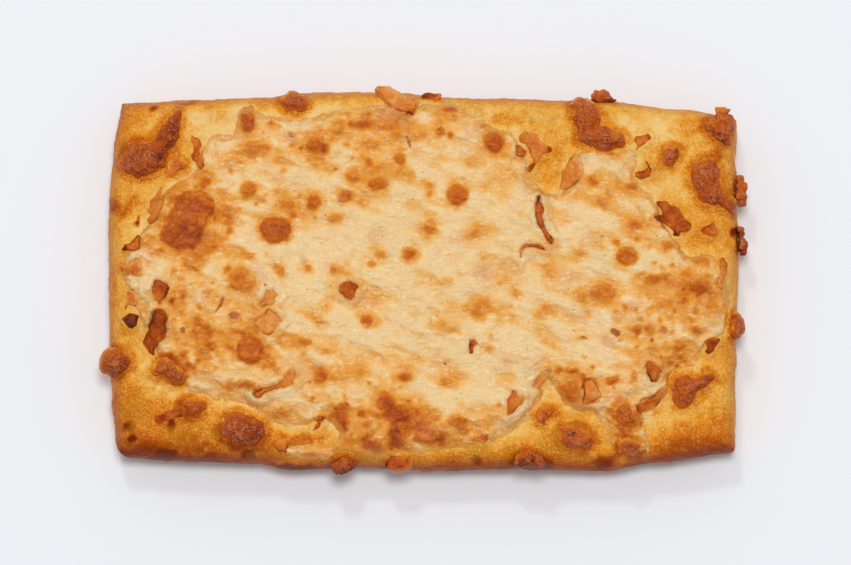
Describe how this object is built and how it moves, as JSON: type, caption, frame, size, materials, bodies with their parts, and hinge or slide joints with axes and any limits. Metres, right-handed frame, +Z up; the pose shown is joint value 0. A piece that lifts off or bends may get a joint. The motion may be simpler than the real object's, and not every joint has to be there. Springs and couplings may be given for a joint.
{
  "type": "chicken pizza slice",
  "caption": "Thick oblong slice of chicken pizza: baked dough slab, blistered melted cheese, diced smoked chicken and crisped cheese lumps.",
  "frame": {"origin": "middle of the whole's outline, on the surface that the dough lies on", "axes": "+X along the slice, to the right of the picture; +Y across it, away from the viewer; +Z up"},
  "size_m": [0.1624, 0.0974, 0.023],
  "materials": {
    "baked dough": "baked, lightly oiled",
    "melted cheese": "melted, satin, browned in spots",
    "smoked chicken": "roasted, glossy",
    "dark peel": "roasted dark, glossy",
    "crisped cheese": "dry, pitted"
  },
  "bodies": {
    "root": {"dough_base": "baked dough", "cheese_sheet": "melted cheese", "crisp_left_ball": "crisped cheese", "crisp_corner_cluster": "crisped cheese", "crisp_corner_bead": "crisped cheese", "crisp_top_dome": "crisped cheese", "crisp_upper_pair": "crisped cheese", "crisp_top_crag": "crisped cheese", "crisp_corner_nut": "crisped cheese", "crisp_upper_nugget": "crisped cheese", "crisp_right_ridge": "crisped cheese", "crisp_right_heart": "crisped cheese", "crisp_low_dome": "crisped cheese", "crisp_left_knob": "crisped cheese", "crisp_strip_ball": "crisped cheese", "crisp_bottom_ball": "crisped cheese", "crisp_bottom_lump": "crisped cheese", "crisp_low_button": "crisped cheese", "crisp_low_shell": "crisped cheese", "crisp_low_crumple": "crisped cheese", "crisp_right_ball": "crisped cheese", "crisp_wall_crag": "crisped cheese", "crisp_wall_knot": "crisped cheese", "crisp_low_pebble": "crisped cheese", "chicken_top_slab": "smoked chicken", "chicken_top_chip": "smoked chicken", "chicken_bay_slab": "smoked chicken", "chicken_bay_nub": "smoked chicken", "chicken_bay_leaf": "smoked chicken", "chicken_dark_knot": "smoked chicken", "chicken_right_chip": "smoked chicken", "chicken_upper_fold": "smoked chicken", "chicken_upper_tail": "smoked chicken", "chicken_middle_dice": "smoked chicken", "chicken_left_wing": "smoked chicken", "chicken_left_point": "smoked chicken", "chicken_left_flap": "smoked chicken", "chicken_tip_flake": "smoked chicken", "chicken_left_dice": "smoked chicken", "chicken_edge_dice": "smoked chicken", "chicken_corner_strip": "smoked chicken", "chicken_bottom_block": "smoked chicken", "chicken_centre_shard": "smoked chicken", "chicken_right_dice": "smoked chicken", "chicken_right_rind": "smoked chicken", "chicken_low_wedge": "smoked chicken", "chicken_low_hook": "smoked chicken", "chicken_low_strip": "smoked chicken", "chicken_low_chip": "smoked chicken", "chicken_pale_slab": "smoked chicken", "chicken_pale_dice": "smoked chicken", "chicken_rim_char": "smoked chicken", "chicken_rim_strip": "smoked chicken", "chicken_grey_dice": "smoked chicken", "chicken_tan_leaf": "smoked chicken", "chicken_bottom_wedge": "smoked chicken", "peel_long_curl": "dark peel", "peel_small_arch": "dark peel", "peel_upper_left": "dark peel", "peel_left_curl": "dark peel"}
  },
  "joints": []
}
